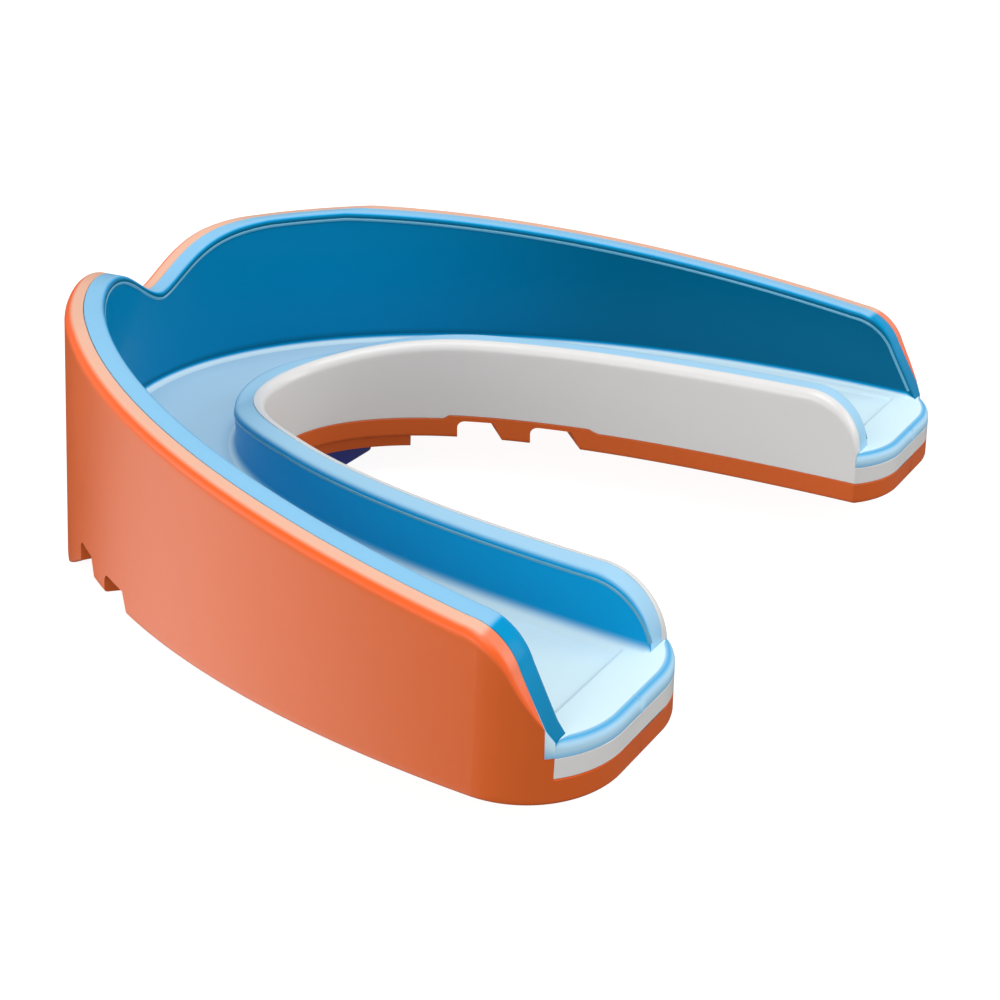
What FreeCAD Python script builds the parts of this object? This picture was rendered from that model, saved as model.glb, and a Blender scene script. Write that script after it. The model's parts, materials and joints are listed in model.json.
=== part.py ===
"""Boil-and-bite mouthguard for the upper teeth, as four bonded mouldings.

Row frame: +Z up, -Y towards the lips, +Y towards the throat. The origin is at the
centre of the box, on the plane that the front lip stands on. Sizes are in millimetres.
"""
import FreeCAD, Part
import math
import os

V = FreeCAD.Vector

# ---- overall sizes ----
ARCH_LENGTH = 60.1        # front of the lip to the ends of the arms
ARCH_WIDTH = 64.8         # across the cheeks, measured at the foot of the walls
LIP_DROP = 3.4            # how far the front lip hangs below the sole
CHEEK_WALL_FRONT = 16.0   # height of the cheek wall above the sole, at the front
CHEEK_WALL_MIDDLE = 13.9  # the same halfway along the arms
CHEEK_WALL_REAR = 10.7    # the same where its shoulder starts
TONGUE_WALL_FRONT = 7.1   # height of the tongue wall above the sole, behind the front teeth
TONGUE_WALL_REAR = 8.4    # the same along the arms

# ---- the bite platform ----
FRONT_BITE = 16.4         # width of the platform behind the front teeth
ARM_BITE = 16.5           # width of the platform at the ends of the arms
CHEEK_LEAN = 0.085        # inward lean of the cheek wall, mm per mm of height
CHEEK_CORNER_R = 6.5      # plan radius of each arm's end, cheek side
TONGUE_CORNER_R = 6.2     # plan radius of each arm's end, tongue side
TONGUE_CORNER_RUN = 4.4   # how much of the arm's width that radius takes; it meets the side at an edge

# ---- layers ----
SOLE_T = 1.65             # tough underside
SOLE_BOSS_T = 0.3         # extra sole thickness over the flex grooves
FRAME_T = 1.4             # white slab
GEL_T = 1.0               # gel floor, on the white slab
SHELL_WALL_T = 1.35       # tough skin of the cheek wall
GEL_CHEEK_T = 1.55        # gel lining of the cheek wall
FRAME_WALL_T = 0.8        # white skin of the tongue wall
GEL_TONGUE_T = 1.5        # gel lining of the tongue wall
BED_DEPTH = 0.25          # shallow bed for the back teeth
BED_MARGIN = 3.6          # floor left plain behind the bed
BED_START = 25.0          # start of the bed, back from the front of the lip
BED_SIDE_GAP = 0.5        # floor left plain beside the walls

# ---- ends of the walls ----
WALL_END_SETBACK = 2.0    # end of both walls, forward of the ends of the arms
CHEEK_SHOULDER = 5.7      # length of the cheek wall's falling end
TONGUE_SHOULDER = 4.2     # length of the tongue wall's rounded end
TONGUE_RISE = 10.5        # length over which the tongue wall climbs from its front height
SHELL_STEP = 0.45         # how much thicker the skin is beside the white slab

# ---- front notch ----
NOTCH_DEPTH = 4.0         # below the top of the front wall
NOTCH_HALF_WIDTH = 10.0   # from the middle to where the lobes reach full height
NOTCH_REACH = 14.0        # how far back the notch cut runs

# ---- front lip, ridge and pad ----
LIP_T = 3.0               # thickness of the lip
LIP_FLAT_END = 8.9        # where the lip's flat edge ends, back from its front
LIP_RAMP_END = 14.1       # where the lip's ramp meets the sole
RIDGE_DEPTH = 1.0         # ridge under the sole, behind the front teeth
RIDGE_T = 1.6
RIDGE_SETBACK = 0.3       # from the tongue side of the sole
RIDGE_HALF_WIDTH = 8.8
PAD_HALF_WIDTH = 11.6     # soft pad between the lip and the ridge
PAD_BACK = 16.9           # back edge of the pad, from the front of the lip
PAD_GROUND_GAP = 0.2      # the pad stops this far above the lip's edge
PAD_SIDE_SLOPE = 0.35     # how much its sides draw in, mm per mm of depth

# ---- flex grooves, across the sole at 45 degrees ----
GROOVE_ANGLE = 46.0
GROOVE_DEPTH = 1.5
GROOVE_TOP_R = 0.6
GROOVE_SLANT = 0.7        # how much narrower a groove is at its top, on its rear side
GROOVES = ((19.2, 22.65), (24.7, 28.35))   # each groove's two edges, from the platform's datum
GROOVE_DATUM = 8.9        # datum for the grooves, back from the front of the lip
BOSS_MARGIN = 0.9         # the thicker sole runs this far past the grooves

# ---- construction ----
CURVE_STEPS = 11          # spans of the interpolated outline on each side
OUTER_SHAPE = ((0, 0), (0.526, 0), (1.056, 0.384), (1, 1))
INNER_SHAPE = ((0, 0), (0.348, 0), (0.956, 0.144), (1, 1))
SHAPE_END = 1.4           # the outlines' shape is drawn up to this far from the arm ends
OVERRUN = 1.05            # the outlines run on past their shape, and are cut to length
BIG = 200.0

FRONT_Y = -ARCH_LENGTH / 2
END_Y = ARCH_LENGTH / 2
SOLE_Z = LIP_DROP
FRAME_Z = SOLE_Z + SOLE_T
GEL_Z = FRAME_Z + FRAME_T
FLOOR_Z = GEL_Z + GEL_T
WALL_TOP = SOLE_Z + CHEEK_WALL_FRONT + 1.0
WALL_END_Y = END_Y - WALL_END_SETBACK


def outline(shape, half_width, front):
    """Control points of one outline's near half, from its proportions."""
    length = END_Y - SHAPE_END - front
    return [(x * half_width, front + y * length) for x, y in shape]


OUTER = outline(OUTER_SHAPE, ARCH_WIDTH / 2, FRONT_Y)
INNER = outline(INNER_SHAPE, ARCH_WIDTH / 2 - ARM_BITE, FRONT_Y + FRONT_BITE)


def outline_point(controls, t, inset):
    """Point at t on a cubic outline, moved inset along its inward normal."""
    weights = ((1 - t) ** 3, 3 * (1 - t) ** 2 * t, 3 * (1 - t) * t ** 2, t ** 3)
    slopes = ((1 - t) ** 2, 2 * (1 - t) * t, t ** 2)
    x = sum(w * p[0] for w, p in zip(weights, controls))
    y = sum(w * p[1] for w, p in zip(weights, controls))
    dx = sum(s * (b[0] - a[0]) for s, a, b in zip(slopes, controls, controls[1:]))
    dy = sum(s * (b[1] - a[1]) for s, a, b in zip(slopes, controls, controls[1:]))
    length = math.hypot(dx, dy)
    return x - inset * dy / length, y + inset * dx / length


def outline_edge(controls, inset, z):
    """The whole outline at height z as one smooth edge, from the -X arm to the +X arm."""
    steps = [OVERRUN * k / CURVE_STEPS for k in range(CURVE_STEPS + 1)]
    half = [outline_point(controls, t, inset) for t in steps]
    points = [V(-x, y, z) for x, y in reversed(half[1:])] + [V(x, y, z) for x, y in half]
    curve = Part.BSplineCurve()
    curve.interpolate(points)
    return curve.toShape()


def ring_wire(outer_edge, inner_edge):
    """Closed wire from an outer edge, an inner edge and two straight ends."""
    start = Part.makeLine(inner_edge.Vertexes[0].Point, outer_edge.Vertexes[0].Point)
    end = Part.makeLine(outer_edge.Vertexes[1].Point, inner_edge.Vertexes[1].Point)
    return Part.Wire([start, outer_edge, end, inner_edge])


def slab(low, high):
    """A slab across everything, between two heights."""
    return Part.makeBox(BIG, BIG, high - low, V(-BIG / 2, -BIG / 2, low))


def behind(y):
    """Everything behind a plane across the arch."""
    return Part.makeBox(BIG, BIG, BIG, V(-BIG / 2, y, -BIG / 2))


def tongue_corner(height):
    """What is cut from the tongue corner of the +X arm, to a given height."""
    radius, edge_x = TONGUE_CORNER_R, ARCH_WIDTH / 2 - ARM_BITE
    corner = Part.makeBox(radius + TONGUE_CORNER_RUN, radius + 1, height)
    corner.translate(V(edge_x - radius, END_Y - radius, SOLE_Z))
    drum = Part.makeCylinder(radius, height, V(edge_x + TONGUE_CORNER_RUN, END_Y - radius, SOLE_Z))
    return corner.cut(drum)


def round_ends(solid):
    """Cut the arms to length and round their upright corners."""
    block = solid.cut(behind(END_Y))
    height = block.BoundBox.ZLength
    corners = []
    for edge in block.Edges:
        box = edge.BoundBox
        upright = box.ZLength > 0.9 * height and box.YLength < 0.05
        cheek_side = abs(box.Center.x) > ARCH_WIDTH / 2 - ARM_BITE / 2
        if upright and cheek_side and abs(box.Center.y - END_Y) < 0.05:
            corners.append(edge)
    block = block.makeFillet(CHEEK_CORNER_R, corners)
    corner = tongue_corner(WALL_TOP)
    return block.cut(corner).cut(corner.mirror(V(0, 0, 0), V(1, 0, 0)))


def arch_block(cheek_inset):
    """Upright block between the two outlines, leaning on its cheek side, overlong arms."""
    wires = []
    for z in (SOLE_Z, WALL_TOP):
        outer = outline_edge(OUTER, cheek_inset + CHEEK_LEAN * z, z)
        wires.append(ring_wire(outer, outline_edge(INNER, 0, z)))
    return Part.makeLoft(wires, True, True)


def prism_along_x(edges):
    """Side view outline, drawn in Y and Z, run across the whole width."""
    face = Part.Face(Part.Wire(edges))
    face.translate(V(-BIG / 2, 0, 0))
    return face.extrude(V(BIG, 0, 0))


def line(a, b):
    return Part.makeLine(V(0, *a), V(0, *b))


def arc(a, b, c):
    return Part.Arc(V(0, *a), V(0, *b), V(0, *c)).toShape()


def cheek_profile(end_y):
    """Side view of the cheek wall: a falling top and a steep rounded end."""
    front = (FRONT_Y - 5, SOLE_Z + CHEEK_WALL_FRONT)
    crown = (FRONT_Y + 11.7, SOLE_Z + CHEEK_WALL_FRONT)
    middle = (FRONT_Y + 28.7, SOLE_Z + CHEEK_WALL_MIDDLE)
    shoulder = (end_y - CHEEK_SHOULDER, SOLE_Z + CHEEK_WALL_REAR)
    bend = (end_y - 0.6 * CHEEK_SHOULDER, shoulder[1] - 0.13 * (shoulder[1] - FLOOR_Z))
    fall = (end_y - 0.4 * CHEEK_SHOULDER, shoulder[1] - 0.36 * (shoulder[1] - FLOOR_Z))
    foot = (end_y, FLOOR_Z)
    base = (end_y, SOLE_Z)
    corner = (FRONT_Y - 5, SOLE_Z)
    edges = [line(front, crown), arc(crown, middle, shoulder), arc(shoulder, bend, fall)]
    return prism_along_x(edges + [line(fall, foot), line(foot, base), line(base, corner), line(corner, front)])


def tongue_profile():
    """Side view of the tongue wall: a short climb, a level run and a rounded end."""
    start_y = FRONT_Y + FRONT_BITE
    front = (FRONT_Y, SOLE_Z + TONGUE_WALL_FRONT)
    apex = (start_y, SOLE_Z + TONGUE_WALL_FRONT)
    climb = (start_y + 0.42 * TONGUE_RISE, SOLE_Z + 0.33 * TONGUE_WALL_FRONT + 0.67 * TONGUE_WALL_REAR)
    level = (start_y + TONGUE_RISE, SOLE_Z + TONGUE_WALL_REAR)
    shoulder = (WALL_END_Y - TONGUE_SHOULDER, SOLE_Z + TONGUE_WALL_REAR)
    drop = SOLE_Z + TONGUE_WALL_REAR - FLOOR_Z
    bend = (WALL_END_Y - 0.3 * TONGUE_SHOULDER, FLOOR_Z + 0.7 * drop)
    foot = (WALL_END_Y, FLOOR_Z)
    base = (WALL_END_Y, SOLE_Z)
    corner = (FRONT_Y, SOLE_Z)
    edges = [line(front, apex), arc(apex, climb, level), line(level, shoulder)]
    edges += [arc(shoulder, bend, foot), line(foot, base), line(base, corner), line(corner, front)]
    return prism_along_x(edges)


def lip_profile():
    """Side view of the lip: a flat edge and a ramp up to the sole."""
    points = [(FRONT_Y - 5, 0), (FRONT_Y + LIP_FLAT_END, 0), (FRONT_Y + LIP_RAMP_END, SOLE_Z)]
    points += [(FRONT_Y - 5, SOLE_Z)]
    return prism_along_x([line(a, b) for a, b in zip(points, points[1:] + points[:1])])


def notch_cutter():
    """Front notch for the lip's frenum, with a rounded lobe on each side."""
    top = SOLE_Z + CHEEK_WALL_FRONT
    half = ((1.0, 0.02), (0.62, 0.17), (0.4, 0.43), (0.18, 0.8), (0.0, 1.0))
    side = [(NOTCH_HALF_WIDTH * x, top - NOTCH_DEPTH * z) for x, z in half]
    points = [V(-x, 0, z) for x, z in side] + [V(x, 0, z) for x, z in reversed(side[:-1])]
    curve = Part.BSplineCurve()
    curve.interpolate(points)
    left, right = points[0], points[-1]
    lid = [V(right.x, 0, WALL_TOP + 1), V(left.x, 0, WALL_TOP + 1)]
    sides = [Part.makeLine(right, lid[0]), Part.makeLine(lid[0], lid[1]), Part.makeLine(lid[1], left)]
    face = Part.Face(Part.Wire([curve.toShape()] + sides))
    face.translate(V(0, FRONT_Y - 5, 0))
    return face.extrude(V(0, NOTCH_REACH, 0))


def groove_frame(shape, side):
    """Place a shape drawn across a groove on one side of the sole."""
    shape.rotate(V(0, 0, 0), V(0, 0, 1), 90 - GROOVE_ANGLE)
    shape.translate(V(0, FRONT_Y + GROOVE_DATUM, 0))
    return shape.mirror(V(0, 0, 0), V(1, 0, 0)) if side < 0 else shape


def groove_cutter(near, far, side):
    """One flex groove: an upright front wall, a rounded top corner and a slanted rear wall."""
    low, high = SOLE_Z - 1, SOLE_Z + GROOVE_DEPTH
    corner = GROOVE_TOP_R * (1 - math.sqrt(0.5))
    slant_low = far + GROOVE_SLANT / GROOVE_DEPTH
    points = [V(near, 0, low), V(near, 0, high - GROOVE_TOP_R), V(near + GROOVE_TOP_R, 0, high)]
    points += [V(far - GROOVE_SLANT, 0, high), V(slant_low, 0, low)]
    bend = V(near + corner, 0, high - corner)
    edges = [Part.makeLine(points[0], points[1]), Part.Arc(points[1], bend, points[2]).toShape()]
    edges += [Part.makeLine(a, b) for a, b in zip(points[2:], points[3:] + points[:1])]
    face = Part.Face(Part.Wire(edges))
    face.translate(V(0, -BIG / 2, 0))
    return groove_frame(face.extrude(V(0, BIG, 0)), side)


def boss_block(side):
    """Stretch of the sole that is thicker over the grooves."""
    near, far = GROOVES[0][0] - BOSS_MARGIN, GROOVES[-1][1] + BOSS_MARGIN
    block = Part.makeBox(far - near, BIG, SOLE_BOSS_T, V(near, -BIG / 2, FRAME_Z))
    return groove_frame(block, side)


def half_space(side):
    """Everything on one side of the middle plane, clear of the other side's grooves."""
    return Part.makeBox(BIG, BIG, BIG, V(0 if side > 0 else -BIG, FRONT_Y, -BIG / 2))


def make_shell(whole, core):
    """Tough outer skin: cheek wall, sole with its grooves, front lip and ridge."""
    wall = whole.cut(core).common(cheek_profile(WALL_END_Y)).cut(notch_cutter())
    foot = whole.cut(arch_block(SHELL_WALL_T + SHELL_STEP)).common(slab(SOLE_Z, GEL_Z))
    foot = foot.cut(behind(WALL_END_Y))
    shell = wall.fuse(foot).fuse(whole.common(slab(SOLE_Z, FRAME_Z)))
    core_plan = whole.common(slab(FRAME_Z, FRAME_Z + SOLE_BOSS_T))
    for side in (1, -1):
        shell = shell.fuse(core_plan.common(boss_block(side)).common(half_space(side)))
    shell = shell.fuse(make_lip()).fuse(make_ridge())
    for side in (1, -1):
        for near, far in GROOVES:
            shell = shell.cut(groove_cutter(near, far, side).common(half_space(side)))
    return shell.removeSplitter()


def make_lip():
    """Front lip: the cheek wall carried down past the sole."""
    wires = []
    for z in (0, SOLE_Z):
        outer = outline_edge(OUTER, CHEEK_LEAN * z, z)
        wires.append(ring_wire(outer, outline_edge(OUTER, CHEEK_LEAN * z + LIP_T, z)))
    return Part.makeLoft(wires, True, True).common(lip_profile())


def make_ridge():
    """Low ridge under the sole, along its tongue side at the front."""
    low = SOLE_Z - RIDGE_DEPTH
    outer = outline_edge(INNER, -RIDGE_SETBACK - RIDGE_T, low)
    wire = ring_wire(outer, outline_edge(INNER, -RIDGE_SETBACK, low))
    band = Part.Face(wire).extrude(V(0, 0, RIDGE_DEPTH))
    window = Part.makeBox(2 * RIDGE_HALF_WIDTH, BIG, BIG, V(-RIDGE_HALF_WIDTH, -BIG / 2, -BIG / 2))
    return band.common(window)


def make_frame(whole, shell):
    """White frame: the middle slab and the tongue wall's skin."""
    wires = []
    for z in (FRAME_Z, WALL_TOP):
        outer = outline_edge(INNER, -FRAME_WALL_T, z)
        wires.append(ring_wire(outer, outline_edge(INNER, 0, z)))
    skin = Part.makeLoft(wires, True, True).common(tongue_profile()).common(whole)
    frame = whole.common(slab(FRAME_Z, GEL_Z)).fuse(skin)
    return frame.cut(shell).removeSplitter()


def make_tongue_lining(whole):
    """Gel on the channel side of the tongue wall."""
    wires = []
    for z in (GEL_Z, WALL_TOP):
        outer = outline_edge(INNER, -FRAME_WALL_T - GEL_TONGUE_T, z)
        wires.append(ring_wire(outer, outline_edge(INNER, -FRAME_WALL_T, z)))
    return Part.makeLoft(wires, True, True).common(tongue_profile()).common(whole)


def make_bed():
    """Shallow bed for the back teeth in the floor of each arm."""
    cheek = SHELL_WALL_T + GEL_CHEEK_T + BED_SIDE_GAP + CHEEK_LEAN * FLOOR_Z
    tongue = FRAME_WALL_T + GEL_TONGUE_T + BED_SIDE_GAP
    low, high = FLOOR_Z - BED_DEPTH, FLOOR_Z + 1
    wire = ring_wire(outline_edge(OUTER, cheek, low), outline_edge(INNER, -tongue, low))
    bed = Part.Face(wire).extrude(V(0, 0, high - low))
    bed = bed.cut(behind(END_Y - BED_MARGIN))
    return bed.cut(Part.makeBox(BIG, BED_START + 5, BIG, V(-BIG / 2, FRONT_Y - 5, -BIG / 2)))


def make_liner(whole, core, channel, shell, frame):
    """Soft gel: the cheek lining, the floor with its beds and the tongue lining."""
    lining = whole.common(core).cut(channel).common(cheek_profile(WALL_END_Y))
    lining = lining.cut(notch_cutter()).common(slab(GEL_Z, WALL_TOP))
    floor = whole.common(slab(GEL_Z, FLOOR_Z))
    liner = floor.fuse(lining).fuse(make_tongue_lining(whole))
    return liner.cut(shell).cut(frame).cut(make_bed()).removeSplitter()


def make_pad(lip, ridge):
    """Soft pad under the front of the sole, between the lip and the ridge."""
    back = FRONT_Y + PAD_BACK
    low_half = PAD_HALF_WIDTH - PAD_SIDE_SLOPE * (LIP_DROP - PAD_GROUND_GAP)
    wires = []
    for half, z in ((low_half, PAD_GROUND_GAP), (PAD_HALF_WIDTH, SOLE_Z)):
        corners = [V(-half, FRONT_Y, z), V(half, FRONT_Y, z), V(half, back, z), V(-half, back, z)]
        wires.append(Part.makePolygon(corners + corners[:1]))
    block = Part.makeLoft(wires, True, True)
    inside = []
    for z in (0, SOLE_Z):
        outer = outline_edge(OUTER, CHEEK_LEAN * z + LIP_T, z)
        inside.append(ring_wire(outer, outline_edge(INNER, -RIDGE_SETBACK - RIDGE_T, z)))
    return block.common(Part.makeLoft(inside, True, True)).cut(lip).cut(ridge)


def main():
    whole = round_ends(arch_block(0))
    core = arch_block(SHELL_WALL_T)
    channel = arch_block(SHELL_WALL_T + GEL_CHEEK_T)
    shell = make_shell(whole, core)
    frame = make_frame(whole, shell)
    liner = make_liner(whole, core, channel, shell, frame)
    pieces = {
        "outer_shell": shell,
        "shock_frame": frame,
        "gel_liner": liner,
        "lip_pad": make_pad(make_lip(), make_ridge()),
    }
    os.makedirs("parts", exist_ok=True)
    for name, shape in pieces.items():
        shape.exportStep("parts/%s.step" % name)
        box = shape.BoundBox
        low = (round(box.XMin, 2), round(box.YMin, 2), round(box.ZMin, 2))
        high = (round(box.XMax, 2), round(box.YMax, 2), round(box.ZMax, 2))
        print(name, shape.isValid(), len(shape.Solids), round(shape.Volume, 1), low, high)


main()
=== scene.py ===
"""Mouthguard add-on: builds a boil-and-bite mouthguard from its sizes, with its stage."""
import json
import math

import bpy
import bmesh
import numpy as np
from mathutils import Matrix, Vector

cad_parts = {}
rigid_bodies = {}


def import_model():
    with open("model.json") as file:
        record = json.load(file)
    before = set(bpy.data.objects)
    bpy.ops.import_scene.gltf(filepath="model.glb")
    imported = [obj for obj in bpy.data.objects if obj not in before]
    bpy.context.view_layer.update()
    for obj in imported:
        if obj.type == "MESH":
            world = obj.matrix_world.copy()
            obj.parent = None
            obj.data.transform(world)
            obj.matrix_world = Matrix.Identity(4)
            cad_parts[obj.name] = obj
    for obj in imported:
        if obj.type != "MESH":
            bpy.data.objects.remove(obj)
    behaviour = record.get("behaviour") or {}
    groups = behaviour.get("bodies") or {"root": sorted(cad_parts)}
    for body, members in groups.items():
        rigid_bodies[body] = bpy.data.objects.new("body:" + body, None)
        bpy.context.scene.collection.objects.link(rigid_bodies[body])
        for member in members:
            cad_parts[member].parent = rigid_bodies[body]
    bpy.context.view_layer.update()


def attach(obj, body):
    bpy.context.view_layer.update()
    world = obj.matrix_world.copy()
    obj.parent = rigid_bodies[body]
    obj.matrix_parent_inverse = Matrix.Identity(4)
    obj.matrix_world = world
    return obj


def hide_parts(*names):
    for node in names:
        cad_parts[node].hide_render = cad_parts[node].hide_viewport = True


bl_info = {
    "name": "Mouthguard builder",
    "version": (1, 0, 0),
    "blender": (4, 5, 0),
    "location": "3D View > Sidebar > Mouthguard",
    "description": "Builds a layered mouthguard piece by piece, and a studio to show it in",
    "category": "Object",
}

MM = 0.001
STAND = 20 * MM           # height over which the cheek side's lean is measured
DETAIL = 150              # sections along the front and middle of each arm
SWATCH = "guard."         # prefix of every material
MERGE = 0.004 * MM        # points closer than this are one
SLIVER = 0.002 * MM       # edges shorter than this are dissolved
PAD_MERGE = 0.005 * MM    # the same for the pad's own points
PAD_BEVEL = 0.25 * MM     # rounding of the pad's edges
PAD_SHARP = 50            # degrees between faces, from which an edge of the pad is rounded
BEAD_SIDES = 10           # sides of a rim bead
BEAD_SPACING = 0.35 * MM  # distance between a bead's rings

EYE = (0.106017, 0.070450, 0.064913)      # camera's place
AIM = (0.005976, 0.009745, 0.008100)      # point the camera looks at
ROLL = 0.0024                             # camera's small turn about its own axis
LAMP_TARGET = (0.0, 0.0, 0.008)
LAMPS = (                                 # name, place, size, power
    ("key", (0.42, -0.06, 0.20), 0.22, 0.38),
    ("side", (0.30, -0.42, 0.22), 0.30, 0.65),
    ("end", (-0.25, 0.45, 0.22), 0.25, 0.7),
    ("top", (0.05, 0.10, 0.60), 0.40, 1.8),
)
SKY_STOPS = ((0.32, 0.18), (0.53, 1.0), (0.95, 0.38))    # height from straight down to up, grey
SHADE_WAY, SHADE_START, SHADE_LEVEL = (-0.70, -0.65, -0.30), 0.5, 0.08
GLOW_WAY, GLOW_START = (0.40, -0.76, -0.51), 0.82


def length(name, default, text):
    """Size given in millimetres, kept in metres."""
    return bpy.props.FloatProperty(name=name, default=default * MM, unit="LENGTH", precision=5,
                                   description=text)


def factor(name, default, text):
    return bpy.props.FloatProperty(name=name, default=default, subtype="FACTOR", min=0, max=1,
                                   description=text)


class GuardShape(bpy.types.PropertyGroup):
    """Plan and side view of the arch."""
    arch_length: length("Arch length", 60.1, "From the front of the lip to the ends of the arms")
    arch_width: length("Arch width", 64.8, "Across the cheeks, at the foot of the walls")
    front_bite: length("Front bite", 16.4, "Width of the platform behind the front teeth")
    arm_bite: length("Arm bite", 16.5, "Width of the platform at the ends of the arms")
    cheek_corner: length("Cheek corner", 6.5, "Plan radius of an arm's end, cheek side")
    tongue_corner: length("Tongue corner", 6.2, "Plan radius of an arm's end, tongue side")
    tongue_run: length("Tongue corner run", 4.4, "How much of the arm's width that radius takes")
    lean: factor("Lean", 0.085, "Inward lean of the cheek wall, per unit of height")
    lip_drop: length("Lip drop", 3.4, "How far the front lip hangs below the sole")
    cheek_front: length("Cheek wall, front", 16.0, "Height of the cheek wall above the sole")
    cheek_middle: length("Cheek wall, middle", 13.9, "The same halfway along the arms")
    cheek_rear: length("Cheek wall, rear", 10.7, "The same where its shoulder starts")
    tongue_front: length("Tongue wall, front", 7.1, "Height of the tongue wall above the sole")
    tongue_rear: length("Tongue wall, rear", 8.4, "The same along the arms")
    notch_depth: length("Notch depth", 4.0, "Depth of the front notch")
    notch_half: length("Notch half width", 10.0, "From the middle to the full height of a lobe")


class GuardLayers(bpy.types.PropertyGroup):
    """Thickness of each layer, and the small details of the underside."""
    sole: length("Sole", 1.65, "Thickness of the tough underside")
    boss: length("Sole boss", 0.3, "Extra thickness over the flex grooves")
    slab: length("White slab", 1.4, "Thickness of the white slab")
    floor: length("Gel floor", 1.0, "Thickness of the gel on the slab")
    skin: length("Cheek skin", 1.35, "Tough skin of the cheek wall")
    step: length("Skin step", 0.45, "How much thicker that skin is beside the white slab")
    lining: length("Cheek lining", 1.55, "Gel lining of the cheek wall")
    tongue_skin: length("Tongue skin", 0.8, "White skin of the tongue wall")
    tongue_lining: length("Tongue lining", 1.5, "Gel lining of the tongue wall")
    bed: length("Bed depth", 0.25, "Shallow bed for the back teeth")
    lip: length("Lip", 3.0, "Thickness of the front lip")
    groove: length("Groove depth", 1.5, "Depth of the flex grooves")
    bead: length("Bead radius", 0.15, "Radius of the bead along the gel's rim")


class GuardStage(bpy.types.PropertyGroup):
    """Camera and light."""
    lens: bpy.props.FloatProperty(name="Lens", default=65.81, unit="CAMERA", description="Focal length")
    sky: bpy.props.FloatProperty(name="Sky", default=0.9, min=0, description="Strength of the plain sky")
    glow: bpy.props.FloatProperty(name="Glow", default=2.8, min=0,
                                  description="Broad sheen along the cheek side")
    key: bpy.props.FloatProperty(name="Key light", default=1.0, min=0, description="Scale of every lamp")


# ---------------------------------------------------------------- plan of the arch

def bezier(controls, t, inset):
    """Points at t on a cubic outline, moved inset along the inward normal."""
    a, b, c, d = [np.array(p, float) for p in controls]
    t = np.asarray(t, float)[:, None]
    point = (1 - t) ** 3 * a + 3 * (1 - t) ** 2 * t * b + 3 * (1 - t) * t ** 2 * c + t ** 3 * d
    slope = (1 - t) ** 2 * (b - a) + 2 * (1 - t) * t * (c - b) + t ** 2 * (d - c)
    slope /= np.linalg.norm(slope, axis=1)[:, None]
    inset = np.broadcast_to(np.asarray(inset, float), (len(point),))[:, None]
    return point + inset * np.stack([-slope[:, 1], slope[:, 0]], 1)


def at_y(controls, y, inset):
    """Points of the offset outline at the given y."""
    table = np.linspace(0, 1.12, 3000)
    line = bezier(controls, table, inset)
    t = np.interp(y, line[:, 1], table)
    return bezier(controls, t, inset)


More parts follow.
